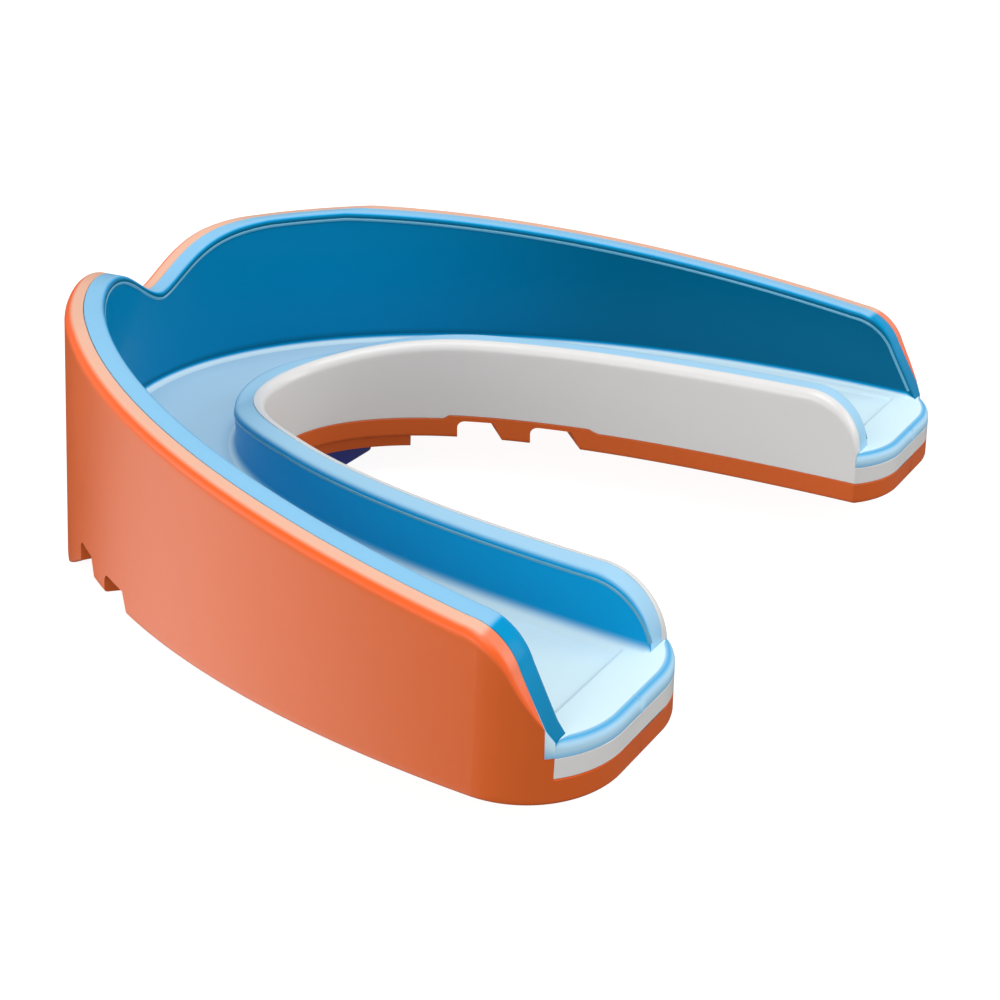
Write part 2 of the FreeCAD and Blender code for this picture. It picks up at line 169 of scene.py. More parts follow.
class Arch:
    """Matching points of every plan line, at the same sections from the middle to one arm's end."""

    def __init__(self, shape, layers):
        self.s, self.k = shape, layers
        self.front, self.end = -shape.arch_length / 2, shape.arch_length / 2
        self.wall_end = self.end - 2 * MM
        run = self.end - 1.4 * MM
        half = shape.arch_width / 2
        outer = ((0, 0), (0.526, 0), (1.056, 0.384), (1, 1))
        inner = ((0, 0), (0.348, 0), (0.956, 0.144), (1, 1))
        start = self.front + shape.front_bite
        self.outer = [(x * half, self.front + y * (run - self.front)) for x, y in outer]
        self.inner = [(x * (half - shape.arm_bite), start + y * (run - start)) for x, y in inner]
        self.turn = 22 * MM                     # sections are level across the arm behind this
        self.sections()
        lean = shape.lean * STAND
        self.A = self.edge("outer", (0, lean), True)
        self.B = self.edge("outer", (layers.skin, layers.skin + lean), False)
        thick = layers.skin + layers.step
        self.G = self.edge("outer", (thick, thick + lean), False)
        wall = layers.skin + layers.lining
        self.C = self.edge("outer", (wall, wall + lean), False)
        self.L = self.edge("outer", (layers.lip, layers.lip + lean), False)
        self.D = self.edge("inner", (0, 0), True)
        self.E = self.edge("inner", (-layers.tongue_skin,) * 2, False)
        wall = layers.tongue_skin + layers.tongue_lining
        self.F = self.edge("inner", (-wall,) * 2, False)

    def sections(self):
        """Sections: by share of the outline first, then by y, then round the end."""
        gap = 0.03 * MM
        share = np.linspace(0, 1, DETAIL)
        near = self.turn + (self.wall_end - self.turn) * np.linspace(0, 1, 70)[1:] ** 0.8
        last = self.wall_end + gap
        turn = np.sin(np.linspace(0, 1, 16)[1:] * math.pi / 2)
        rear = np.concatenate([[last], last + (self.end - last) * turn])
        self.share = share
        self.y = np.concatenate([np.full(DETAIL, np.nan), near, rear])
        self.closing = np.array([0.5, 0.8, 0.985])    # shares of the straight end edge
        self.walled = np.arange(len(self.y) + 3) < DETAIL + len(near)

    def edge(self, side, insets, rounded):
        """One plan line at the foot and at STAND: array of sections by two by (x, y)."""
        controls = self.outer if side == "outer" else self.inner
        radius = self.s.cheek_corner if side == "outer" else self.s.tongue_corner
        sign = 1 if side == "outer" else -1
        both = []
        for inset in insets:
            table = np.linspace(0, 1.12, 3000)
            line = bezier(controls, table, inset)
            base = bezier(controls, table, 0)
            t_turn = np.interp(self.turn, base[:, 1], table)
            front = bezier(controls, self.share * t_turn, inset)
            shift = self.turn - front[-1, 1]
            front[:, 1] += shift * self.share ** 6
            rear_y = self.y[DETAIL:].copy()
            x = np.interp(rear_y, line[:, 1], line[:, 0])
            centre_y = self.end - radius
            centre = at_y(controls, np.array([centre_y]), inset + sign * radius)[0, 0]
            if side == "inner":
                centre = self.s.arch_width / 2 - self.s.arm_bite + self.s.tongue_run
            if rounded:
                rise = np.clip((rear_y - centre_y) / radius, -1, 1)
                x_arc = centre + sign * radius * np.sqrt(1 - rise ** 2)
                start = centre_y + 0.05 * radius if side == "outer" else self.wall_end + 0.1 * MM
                x = np.where(rear_y > start, np.maximum(x, x_arc) if side == "inner" else x_arc, x)
            points = np.concatenate([front, np.stack([x, rear_y], 1)])
            both.append((points, centre if rounded else points[-1, 0]))
        return both

    def close(self, mine, other):
        """Carry a rounded line along the straight end edge to the middle of the arm's end."""
        done = []
        middle = (mine[0][0][-1, 0] + other[0][0][-1, 0]) / 2
        for points, _ in mine:
            x = points[-1, 0] + (middle - points[-1, 0]) * self.closing
            tail = np.stack([x, np.full(len(x), self.end)], 1)
            done.append(np.concatenate([points, tail]))
        return done

    def finish(self):
        rim = [points.copy() for points, _ in self.A]
        self.A, self.D = self.close(self.A, self.D), self.close(self.D, self.A)
        n = len(self.A[0])
        along = np.gradient(self.A[0], axis=0)
        self.in_a = np.stack([-along[:, 1], along[:, 0]], 1) / np.linalg.norm(along, axis=1)[:, None]
        along = np.gradient(self.D[0], axis=0)
        self.in_d = np.stack([along[:, 1], -along[:, 0]], 1) / np.linalg.norm(along, axis=1)[:, None]
        for name, share in (("B", 0.1), ("G", 0.1), ("L", 0.2), ("C", 0.2), ("F", 0.8), ("E", 0.9)):
            pair = []
            for low, (points, _) in enumerate(getattr(self, name)):
                full = self.A[low] + (self.D[low] - self.A[low]) * share
                if name in "BGC":
                    points = points.copy()
                    points[:, 0] = np.minimum(points[:, 0], rim[low][:, 0] - 0.02 * MM)
                full[:len(points)][self.walled[:len(points)]] = points[self.walled[:len(points)]]
                pair.append(full)
            setattr(self, name, pair)
        self.count = n

    def at(self, name, z):
        """The named line at height z, one point per section."""
        low, high = getattr(self, name)
        share = (np.broadcast_to(np.asarray(z, float), (len(low),)) / STAND)[:, None]
        return low + (high - low) * share


def smooth(x):
    x = np.clip(x, 0, 1)
    return x * x * (3 - 2 * x)


def arc_through(a, b, c, y):
    """Height at y on the arc through three (y, z) points."""
    (ax, az), (bx, bz), (cx, cz) = a, b, c
    d = 2 * (ax * (bz - cz) + bx * (cz - az) + cx * (az - bz))
    sa, sb, sc = ax * ax + az * az, bx * bx + bz * bz, cx * cx + cz * cz
    ux = (sa * (bz - cz) + sb * (cz - az) + sc * (az - bz)) / d
    uz = (sa * (cx - bx) + sb * (ax - cx) + sc * (bx - ax)) / d
    r = math.hypot(ax - ux, az - uz)
    return uz + math.copysign(1, bz - uz) * np.sqrt(np.maximum(r * r - (y - ux) ** 2, 0))


class Heights:
    """Heights of every surface, as rules of the plan position."""

    def __init__(self, shape, layers):
        s, k = shape, layers
        self.s, self.k = s, k
        self.front, self.end = -s.arch_length / 2, s.arch_length / 2
        self.wall_end = self.end - 2 * MM
        self.sole = s.lip_drop
        self.slab = self.sole + k.sole
        self.gel = self.slab + k.slab
        self.floor = self.gel + k.floor

    def cheek(self, p):
        s, y = self.s, p[:, 1]
        crown = (self.front + 11.7 * MM, self.sole + s.cheek_front)
        middle = (self.front + 28.7 * MM, self.sole + s.cheek_middle)
        shoulder = (self.wall_end - 5.7 * MM, self.sole + s.cheek_rear)
        drop = shoulder[1] - self.floor
        bend = (self.wall_end - 3.42 * MM, shoulder[1] - 0.13 * drop)
        fall = (self.wall_end - 2.28 * MM, shoulder[1] - 0.36 * drop)
        z = np.full(len(y), crown[1])
        z = np.where(y > crown[0], arc_through(crown, middle, shoulder, y), z)
        z = np.where(y > shoulder[0], arc_through(shoulder, bend, fall, y), z)
        down = fall[1] + (self.floor - fall[1]) * (y - fall[0]) / (self.wall_end - fall[0])
        z = np.where(y > fall[0], down, z)
        across = np.abs(p[:, 0]) / s.notch_half
        dip = np.exp(-((across / 0.4428) ** 1.67)) - 0.02 * across
        dip = np.where((across < 1) & (y < 0), s.notch_depth * dip, 0)
        return np.maximum(z - dip, self.floor)

    def tongue(self, p):
        s, y = self.s, p[:, 1]
        start = self.front + s.front_bite
        low, high = self.sole + s.tongue_front, self.sole + s.tongue_rear
        climb = (start + 4.41 * MM, 0.33 * low + 0.67 * high)
        z = np.full(len(y), low)
        z = np.where(y > start, arc_through((start, low), climb, (start + 10.5 * MM, high), y), z)
        z = np.where(y > start + 10.5 * MM, high, z)
        shoulder = (self.wall_end - 4.2 * MM, high)
        bend = (self.wall_end - 1.26 * MM, self.floor + 0.7 * (high - self.floor))
        z = np.where(y > shoulder[0], arc_through(shoulder, bend, (self.wall_end, self.floor), y), z)
        return np.maximum(z, self.floor)

    def lip(self, p):
        ramp = (p[:, 1] - self.front - 8.9 * MM) / (5.2 * MM)
        return self.sole * np.clip(ramp, 0, 1)

    def boss(self, p):
        """Top of the sole, thicker over the grooves."""
        along = np.abs(p[:, 0]) * math.cos(math.radians(44))
        along = along + (p[:, 1] - self.front - 8.9 * MM) * math.sin(math.radians(44))
        rise = smooth((along - 18.2 * MM) / (0.3 * MM)) * smooth((29.35 * MM - along) / (0.3 * MM))
        return self.slab + self.k.boss * rise

    def land_light(self, p, steep, foot):
        """Painted light on a cheek wall's top: full on the level, less on its falling end as painted shade.
        """
        y = p[:, 1] - self.wall_end
        drop = smooth((y + 4.6 * MM) / (0.5 * MM))
        low = steep + (foot - steep) * smooth((y + 3.5 * MM) / (3.5 * MM))
        return 1 + (low - 1) * drop

    def bed(self, p):
        rear = smooth((self.end - 3.5 * MM - p[:, 1]) / (0.35 * MM))
        front = smooth((p[:, 1] - self.front - 24.4 * MM) / (1.2 * MM))
        return self.k.bed * rear * front


# ---------------------------------------------------------------- meshes

class Section:
    """Collects the closed loop of points that a piece has at every section."""

    def __init__(self, arch):
        self.arch, self.columns, self.pale = arch, [], []

    # pale: how far a point takes the pale colour, partly paler gel and partly painted light on faces that
    # look up
    def add(self, plan, z, pale=0.0):
        n = self.arch.count
        z = np.broadcast_to(np.asarray(z, float), (n,))
        self.columns.append(np.concatenate([plan, z[:, None]], 1))
        self.pale.append(np.broadcast_to(np.asarray(pale, float), (n,)))

    def mesh(self, name):
        half = np.stack(self.columns, 1)
        pale = np.stack(self.pale, 1)
        grid = both_sides(half)
        shade = np.concatenate([pale[1:][::-1], pale])
        return mesh_from(name, grid.reshape(-1, 3), loop_faces(*grid.shape[:2]), shade.ravel())


def both_sides(half):
    """A half from the middle outwards, with its mirror image before it."""
    other = half[1:][::-1].copy()
    other[..., 0] *= -1
    return np.concatenate([other, half])


def loop_faces(rows, cols):
    """Faces between rows of closed loops, with a cap at each end."""
    index = np.arange(rows * cols).reshape(rows, cols)
    a, b = index[:-1], index[1:]
    quads = np.stack([a, np.roll(a, -1, 1), np.roll(b, -1, 1), b], -1).reshape(-1, 4)
    return [*map(tuple, quads), tuple(index[0][::-1]), tuple(index[-1])]


def mesh_from(name, points, faces, shade=None):
    """Merged mesh with outward faces; shade is its paleness at each point, partly paler gel and partly
    painted light.
    """
    mesh = bpy.data.meshes.new(name)
    mesh.from_pydata([tuple(p) for p in points], [], [tuple(int(i) for i in f) for f in faces])
    if shade is not None:
        layer = mesh.attributes.new("pale", "FLOAT", "POINT")
        layer.data.foreach_set("value", np.asarray(shade, np.float32))
    work = bmesh.new()
    work.from_mesh(mesh)
    bmesh.ops.remove_doubles(work, verts=work.verts, dist=MERGE)
    bmesh.ops.dissolve_degenerate(work, edges=work.edges, dist=SLIVER)
    bmesh.ops.recalc_face_normals(work, faces=work.faces)
    work.to_mesh(mesh)
    work.free()
    return mesh


def piece(name, mesh, material, node, sharp=38):
    """Finished object of a mesh, riding the body and standing for its node."""
    mesh.materials.clear()
    mesh.materials.append(material)
    mesh.shade_smooth()
    mesh.set_sharp_from_angle(angle=math.radians(sharp))
    made = bpy.data.objects.new(name, mesh)
    bpy.context.scene.collection.objects.link(made)
    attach(made, "root")
    if node:
        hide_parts(node)
    return made


def mix(p, q, share):
    """Points a share of the way from p to q."""
    share = np.broadcast_to(np.asarray(share, float), (len(p),))[:, None]
    return p + (q - p) * share


def towards(p, q, distance):
    """Points moved from p towards q by a distance, never past the middle."""
    span = np.linalg.norm(q - p, axis=1)
    return mix(p, q, np.minimum(distance / np.maximum(span, 1e-9), 0.5))


def shell_mesh(arch, rule):
    """Cheek wall's skin, sole and front lip."""
    sec = Section(arch)
    sill = rule.sole
    low = np.minimum(rule.lip(arch.at("A", 0)), sill)
    top_a = rule.cheek(arch.at("A", 15 * MM))
    top_b = rule.cheek(arch.at("B", 15 * MM))
    wide = np.linalg.norm(arch.at("B", 10 * MM) - arch.at("A", 10 * MM), axis=1)
    over = arch.walled & (wide > 0.04 * MM)
    ledge = np.where(arch.walled, rule.gel, rule.slab)
    top_a, top_b = np.where(over, top_a, ledge), np.where(over, top_b, ledge)
    fall = 0.075 * smooth((top_a - rule.floor) / (4 * MM))
    wide = np.maximum(wide, 0.02 * MM)
    top_a = top_a - fall * wide - np.where(over, 0.075 * arch.k.lining * (fall > 0), 0) * (fall / 0.075)
    top_b = top_b - fall * arch.k.lining
    # Pale top land of the shell: painted light, lowered on the falling end as painted shade.
    land_light = rule.land_light(arch.at("A", 15 * MM), 0.5, 0.2)
    edge = 0.22 * MM
    for angle in (0, 30, 60, 90):
        a = math.radians(angle)
        z = low + edge * (1 - math.sin(a))
        sec.add(arch.at("A", z) + arch.in_a * edge * (1 - math.cos(a)), z)
    sec.columns = sec.columns[::-1]
    radius = np.minimum(0.67 * MM, 0.45 * wide) * np.where(over, 1, 0.12)
    radius = np.minimum(radius, 0.45 * (top_a - low))
    foot = low + edge
    crown = top_a - radius
    for share in (0.04, 0.16, 0.3, 0.44, 0.58, 0.72, 0.86, 0.96, 1.0):
        z = foot + (crown - foot) * share
        sec.add(arch.at("A", z), z)
    # The top fillet goes from deep orange to the brighter orange, then to the pale land colour as it faces
    # up: painted highlight and painted light.
    for angle in (15, 30, 45, 60, 75, 90):
        a = math.radians(angle)
        z = crown + radius * math.sin(a)
        inward = radius * (1 - math.cos(a))
        sec.add(mix(arch.at("A", z), arch.at("B", z), inward / wide), z,
                0.3 * smooth(angle / 30) + (land_light - 0.3) * smooth((angle - 60) / 30))
    lip_edge = 0.05 * MM
    for share in (0.15, 0.5, 0.9):
        start = radius / wide
        w = start + (1 - lip_edge / wide - start) * share
        z = top_a + (top_b - top_a) * (w - start) / (1 - start)
        sec.add(mix(arch.at("A", z), arch.at("B", z), w), z, land_light)
    z = top_b
    sec.add(mix(arch.at("A", z), arch.at("B", z), 1 - lip_edge / wide), z, land_light)
    z = np.maximum(top_b - lip_edge, ledge)
    sec.add(arch.at("B", z), z, land_light)
    for share in (0.5, 1.0):
        z = z + (ledge - z) * share
        sec.add(arch.at("B", z), z, 0.3)
    sec.add(arch.at("G", ledge), ledge)
    foot = arch.at("G", rule.slab)
    for share in (0.0, 0.2, 0.4, 0.6, 0.8, 0.93):
        plan = mix(foot, arch.at("D", 0), share)
        sec.add(plan, rule.boss(plan))
    lip_edge = 0.07 * MM
    d = arch.at("D", 0)
    sec.add(d + arch.in_d * lip_edge, rule.boss(d))
    sec.add(d, rule.boss(d) - lip_edge)
    for share in (0.1, 0.5, 0.9):
        sec.add(d, rule.boss(d) - lip_edge + (rule.sole + edge - rule.boss(d) + lip_edge) * share)
    for angle in (0, 30, 60, 90):
        a = math.radians(angle)
        sec.add(d + arch.in_d * edge * (1 - math.cos(a)), rule.sole + edge * (1 - math.sin(a)))
    turned = arch.in_a * (edge * smooth((arch.at("A", 0)[:, 1] - rule.wall_end) / (1.5 * MM)))[:, None]
    inner = arch.at("L", rule.sole) + turned
    for share in (0.1, 0.3, 0.5, 0.7, 0.9, 1.0):
        sec.add(mix(d + arch.in_d * edge, inner, share), rule.sole)
    deep = rule.lip(arch.at("L", 0))
    for share in (0.5, 1.0):
        z = rule.sole + (deep - rule.sole) * share
        sec.add(arch.at("L", z) + turned, z)
    sec.add(mix(arch.at("L", deep) + turned, arch.at("A", low) + arch.in_a * edge, 0.5), (deep + low) / 2)
    return sec.mesh("outer_shell")


def frame_mesh(arch, rule):
    """White slab and the tongue wall's skin."""
    sec = Section(arch)
    d = arch.at("D", 0)
    over = arch.walled
    top = np.where(over, rule.tongue(d), rule.gel)
    radius = np.where(over, np.clip(0.5 * (top - rule.gel), 0.1 * MM, 0.78 * MM), 0.1 * MM)
    edge = 0.07 * MM
    low = rule.boss(d)
    sec.add(d + arch.in_d * edge, low)
    for share in (0.0, 0.1, 0.3, 0.5, 0.7, 0.85, 0.95, 1.0):
        sec.add(d, low + edge + (top - radius - low - edge) * share)
    for angle in (12, 24, 36, 48, 60, 72, 84, 90):
        a = math.radians(angle)
        sec.add(d + arch.in_d * (radius * (1 - math.cos(a)))[:, None], top - radius + radius * math.sin(a), 0)
    e = np.where(over[:, None], arch.at("E", 0), d + arch.in_d * 0.4 * MM)
    sec.add(e, top)
    for share in (0.5, 1.0):
        sec.add(e, top + (rule.gel - top) * share)
    cheek_line = np.where(arch.walled[:, None], arch.at("G", rule.gel), arch.at("A", rule.gel))
    for share in (0.1, 0.5, 0.95):
        sec.add(mix(e, cheek_line, share), rule.gel)
    edge = 0.08 * MM
    sec.add(cheek_line + arch.in_a * edge, rule.gel)
    for z in (rule.gel - edge, (rule.gel + rule.slab) / 2, rule.slab + edge):
        line = np.where(arch.walled[:, None], arch.at("G", z), arch.at("A", z))
        sec.add(line, z)
    sec.add(line + arch.in_a * edge, rule.slab)
    for share in (0.1, 0.35, 0.6, 0.85):
        plan = mix(line + arch.in_a * edge, d + arch.in_d * edge, share)
        sec.add(plan, rule.boss(plan))
    return sec.mesh("shock_frame")


def liner_mesh(arch, rule):
    """Gel: cheek lining, floor with its beds, and tongue lining."""
    sec = Section(arch)
    over = arch.walled
    lid = rule.floor
    b0, c0 = arch.at("B", 15 * MM), arch.at("C", 15 * MM)
    top_b, top_c = np.where(over, rule.cheek(b0), lid), np.where(over, rule.cheek(c0), lid)
    fall = 0.075 * smooth((top_b - lid) / (4 * MM))
    top_b = top_b - fall * arch.k.lining
    wall = top_c - lid
    # Pale top of the gel lining: partly paler gel, partly painted light; less on its falling end as painted
    # shade.
    land_light = 0.54 * rule.land_light(c0, 0.42, 0.2)
    turn = np.clip(0.45 * wall, 0.02 * MM, 0.42 * MM)
    round_r = 0.62 * MM                                    # rounded rim of the floor at the arm's end
    a_low, d = arch.at("A", lid), arch.at("D", 0)

    def rim(share, edge, inward):
        """Point of the floor's rounded rim where there is no wall."""
        turned = min(share / 0.6, 1) * math.pi / 2
        reach = round_r * (1 - math.cos(turned)) + max(share - 0.6, 0) * 0.3 * MM
        plan = edge + inward * reach
        plan[:, 1] = np.maximum(plan[:, 1], rule.wall_end + 0.02 * MM + 0.3 * (edge[:, 1] - rule.wall_end))
        return plan, np.full(arch.count, lid - round_r * (1 - math.sin(turned)))

    def put(plan, z, share, edge, inward, pale, rim_painted_light):
        p, h = rim(share, edge, inward)
        sec.add(np.where(over[:, None], plan, p), np.where(over, z, h), np.where(over, pale, rim_painted_light))

    # cheek side
    side = np.where(over[:, None], arch.at("B", rule.gel), arch.at("A", rule.gel))
    sec.add(side, rule.gel, 0.5)
    steps = []
    for share in (0.5, 0.97):
        z = rule.gel + (top_b - rule.gel) * share
        steps.append((arch.at("B", z), z, 0.9))
    edge = 0.05 * MM
    steps.append((towards(arch.at("B", top_b), arch.at("C", top_b), edge), top_b, land_light))
    for share in (0.3, 0.7, 0.98):
        w = share * (1 - turn / arch.k.lining)
        z = top_b + (top_c - top_b) * share
        steps.append((mix(arch.at("B", z), arch.at("C", z), w), z, land_light))
    for angle in (20, 40, 60, 80, 90):
        a = math.radians(angle)
        z = top_c - turn + turn * math.cos(a)
        w = 1 - turn * (1 - math.sin(a)) / arch.k.lining
        steps.append((mix(arch.at("B", z), arch.at("C", z), w), z, land_light * (1 - smooth((angle - 20) / 60))))
    cove = np.clip(0.4 * wall, 0.0, 0.55 * MM)
    foot = lid + cove
    # Cheek lining's wall: brighter towards the front lobes, painted light.
    for share in (0.05, 0.2, 0.4, 0.6, 0.8, 0.95):
        z = (top_c - turn) + (foot - top_c + turn) * share
        steps.append((arch.at("C", z), z, 0.13 * (1 - smooth((c0[:, 1] + 20 * MM) / (25 * MM)))))
    # The cove pales as it turns up to the floor: painted light.
    for angle in (0, 22, 45, 68, 90):
        a = math.radians(angle)
        z = foot - cove * math.sin(a)
        plan = towards(arch.at("C", z), arch.at("F", 0), cove * (1 - math.cos(a)))
        steps.append((plan, z, smooth((angle - 10) / 35)))
    for i, (plan, z, pale) in enumerate(steps):
        put(plan, z, i / (len(steps) - 1), a_low, arch.in_a, pale, rim_painted_light_at(i / (len(steps) - 1)))
    # floor
    first = np.where(over[:, None], towards(arch.at("C", lid), arch.at("F", 0), cove), sec.columns[-1][:, :2])
    tongue_wall = rule.tongue(arch.at("F", 0)) - lid
    cove_t = np.clip(0.4 * tongue_wall, 0.0, 0.55 * MM)
    rim_d = rim(1.0, d, arch.in_d)[0]
    final = np.where(over[:, None], towards(arch.at("F", 0), arch.at("C", lid), cove_t), rim_d)
    # Floor takes the pale colour, paler towards the arms' ends: partly paler gel, partly painted light.
    for share in (0.015, 0.045, 0.08, 0.16, 0.26, 0.36, 0.46, 0.56, 0.66, 0.76, 0.86, 0.92, 0.955, 0.985):
        plan = mix(first, final, share)
        inside = smooth((min(share, 1 - share) - 0.012) / 0.03)
        rear = smooth((plan[:, 1] + 12 * MM) / (30 * MM))
        sec.add(plan, lid - rule.bed(plan) * inside * over, 0.8 + 0.2 * rear)
    # tongue side
    top_f = np.where(over, rule.tongue(arch.at("F", 0)), lid)
    top_e = np.where(over, rule.tongue(arch.at("E", 0)), lid)
    turn_t = np.clip(0.45 * (top_f - lid), 0.02 * MM, 0.34 * MM)
    f, e = arch.at("F", 0), arch.at("E", 0)
    # Tongue side: the wall takes the brighter blue and its rounded top the pale colour as it faces up:
    # painted light.
    steps = []
    for angle in (90, 68, 45, 22, 0):
        a = math.radians(angle)
        z = lid + cove_t - cove_t * math.sin(a)
        plan = towards(f, arch.at("C", lid), cove_t * (1 - math.cos(a)))
        steps.append((plan, z, 0.3 + 0.7 * smooth(angle / 90)))
    for share in (0.05, 0.3, 0.6, 0.95):
        z = lid + cove_t + (top_f - turn_t - lid - cove_t) * share
        steps.append((f, z, np.full(arch.count, 0.3)))
    for angle in (0, 20, 40, 60, 90):
        a = math.radians(angle)
        plan = mix(f, e, turn_t * (1 - math.cos(a)) / arch.k.tongue_lining)
        steps.append((plan, top_f - turn_t + turn_t * math.sin(a), 0.3 + 0.35 * smooth(angle / 70)))
    for share in (0.1, 0.5, 0.96):
        w = turn_t / arch.k.tongue_lining
        steps.append((mix(f, e, w + (1 - w) * share), top_f + (top_e - top_f) * share, 0.65))
    steps.append((e, np.maximum(top_e - 0.04 * MM, rule.gel), 0.65))
    for i, (plan, z, pale) in enumerate(steps):
        put(plan, z, 1 - i / (len(steps) - 1), d, arch.in_d, pale,
            rim_painted_light_at(1 - i / (len(steps) - 1)))
    side = np.where(over[:, None], e, d)
    sec.add(side, rule.gel, 0.5)
    bottom = np.where(over[:, None], arch.at("B", rule.gel), arch.at("A", rule.gel))
    for share in (0.1, 0.5, 0.9):
        sec.add(mix(side, bottom, share), rule.gel, 0.5)
    return sec.mesh("gel_liner")


def rim_painted_light_at(share):
    """Painted light up the slab's edge: pale on top, with a painted shadow line under the rounded rim."""
    return float(np.interp(share, (0, 0.25, 0.42, 0.55, 0.66, 1), (0.75, 0.7, 0.36, 0.55, 1, 1)))


def ridge_mesh(arch, rule):
    """Low rounded ridge under the sole, behind the front teeth."""
    front = np.abs(arch.D[0][:, 0]) < 8.8 * MM
    line, inward = arch.D[0][front], arch.in_d[front]
    loop = ((0.3, 0.2), (0.3, -0.85), (0.36, -0.96), (0.5, -1.0),
            (1.7, -1.0), (1.84, -0.96), (1.9, -0.85), (1.9, 0.2))
    half = []
    for across, high in loop:
        z = np.full((len(line), 1), rule.sole + high * MM)
        half.append(np.concatenate([line + inward * across * MM, z], 1))
    grid = both_sides(np.stack(half, 1))
    return mesh_from("ridge", grid.reshape(-1, 3), loop_faces(*grid.shape[:2]))


def bead_tree():
    """Geometry nodes: a round bead along a path."""
    tree = bpy.data.node_groups.new("Rim bead", "GeometryNodeTree")
    tree.interface.new_socket("Path", in_out="INPUT", socket_type="NodeSocketGeometry")
    tree.interface.new_socket("Radius", in_out="INPUT", socket_type="NodeSocketFloat")
    tree.interface.new_socket("Sides", in_out="INPUT", socket_type="NodeSocketInt")
    tree.interface.new_socket("Spacing", in_out="INPUT", socket_type="NodeSocketFloat")
    tree.interface.new_socket("Material", in_out="INPUT", socket_type="NodeSocketMaterial")
    tree.interface.new_socket("Bead", in_out="OUTPUT", socket_type="NodeSocketGeometry")
    nodes, links = tree.nodes, tree.links
    inputs, outputs = nodes.new("NodeGroupInput"), nodes.new("NodeGroupOutput")
    path, even = nodes.new("GeometryNodeMeshToCurve"), nodes.new("GeometryNodeResampleCurve")
    ring, sweep = nodes.new("GeometryNodeCurvePrimitiveCircle"), nodes.new("GeometryNodeCurveToMesh")
    whole, paint = nodes.new("GeometryNodeRealizeInstances"), nodes.new("GeometryNodeSetMaterial")
    even.mode = "LENGTH"
    sweep.inputs["Fill Caps"].default_value = True
    links.new(inputs.outputs["Path"], path.inputs["Mesh"])
    links.new(path.outputs["Curve"], even.inputs["Curve"])
    links.new(inputs.outputs["Spacing"], even.inputs["Length"])
    links.new(inputs.outputs["Radius"], ring.inputs["Radius"])
    links.new(inputs.outputs["Sides"], ring.inputs["Resolution"])
    links.new(even.outputs["Curve"], sweep.inputs["Curve"])
    links.new(ring.outputs["Curve"], sweep.inputs["Profile Curve"])
    links.new(sweep.outputs["Mesh"], whole.inputs["Geometry"])
    links.new(whole.outputs["Geometry"], paint.inputs["Geometry"])
    links.new(inputs.outputs["Material"], paint.inputs["Material"])
    links.new(paint.outputs["Geometry"], outputs.inputs["Bead"])
    return tree


def bead_mesh(tree, path, radius, material):
    """Mesh of a bead along the path, from the bead tree."""
    line = bpy.data.meshes.new("path")
    line.from_pydata([tuple(p) for p in path], [(i, i + 1) for i in range(len(path) - 1)], [])
    carrier = bpy.data.objects.new("work_path", line)
    bpy.context.scene.collection.objects.link(carrier)
    change = carrier.modifiers.new("bead", "NODES")
    change.node_group = tree
    named = {item.name: item.identifier for item in tree.interface.items_tree if item.in_out == "INPUT"}
    for name, value in (("Radius", radius), ("Sides", BEAD_SIDES), ("Spacing", BEAD_SPACING),
                        ("Material", material)):
        change[named[name]] = value
    bpy.context.view_layer.update()
    made = bpy.data.meshes.new_from_object(carrier.evaluated_get(bpy.context.evaluated_depsgraph_get()))
    carrier.modifiers.remove(change)
    bpy.data.objects.remove(carrier)
    return made


def bead_paths(arch, rule):
    """Lines just under the inner rims of the cheek wall and the tongue wall."""
    radius, show = arch.k.bead, 0.45 * arch.k.bead
    paths = []
    for name, behind, top, down in (("C", "B", rule.cheek, 0.62 * MM), ("F", "E", rule.tongue, 0.55 * MM)):
        height = top(arch.at(name, 15 * MM))
        keep = arch.walled & (height - rule.floor > 1.9 * down)
        z = height - down
        plan = towards(arch.at(name, z), arch.at(behind, z), radius - show)
        half = np.concatenate([plan, z[:, None]], 1)[keep]
        paths.append(both_sides(half))
    return paths


def groove_cutters(rule):
    """The two flex grooves of each side, as one mesh of four long wedges."""
    points, faces = [], []
    turn = math.radians(44)
    for side in (1, -1):
        for near, far in ((19.2 * MM, 22.65 * MM), (24.7 * MM, 28.35 * MM)):
            low, high = rule.sole - 1 * MM, rule.sole + rule.k.groove
            r, slant = 0.6 * MM, 0.7 * MM
            loop = [(near, low), (near, high - r)]
            loop += [(near + r * (1 - math.cos(a)), high - r + r * math.sin(a)) for a in (0.4, 0.8, 1.2)]
            loop += [(near + r, high), (far - slant, high), (far + slant / 1.5, low)]
            start = len(points)
            for across in (14 * MM, -26 * MM):
                for d, z in loop:
                    x = d * math.cos(turn) + across * math.sin(-turn)
                    y = d * math.sin(turn) + across * math.cos(turn)
                    points.append((side * x, rule.front + 8.9 * MM + y, z))
            n = len(loop)
            faces += [tuple(range(start, start + n)), tuple(range(start + n, start + 2 * n))]
            for i in range(n):
                j = (i + 1) % n
                faces.append((start + i, start + j, start + j + n, start + i + n))
    return mesh_from("grooves", points, faces)


def cut(mesh, cutter):
    """Mesh with the cutter taken away, as a new mesh."""
    body = bpy.data.objects.new("work_body", mesh)
    tool = bpy.data.objects.new("work_tool", cutter)
    for made in (body, tool):
        bpy.context.scene.collection.objects.link(made)
    change = body.modifiers.new("cut", "BOOLEAN")
    change.operation, change.object, change.solver = "DIFFERENCE", tool, "EXACT"
    bpy.context.view_layer.update()
    result = bpy.data.meshes.new_from_object(body.evaluated_get(bpy.context.evaluated_depsgraph_get()))
    for made in (body, tool):
        bpy.data.objects.remove(made)
    return result


# ---------------------------------------------------------------- materials

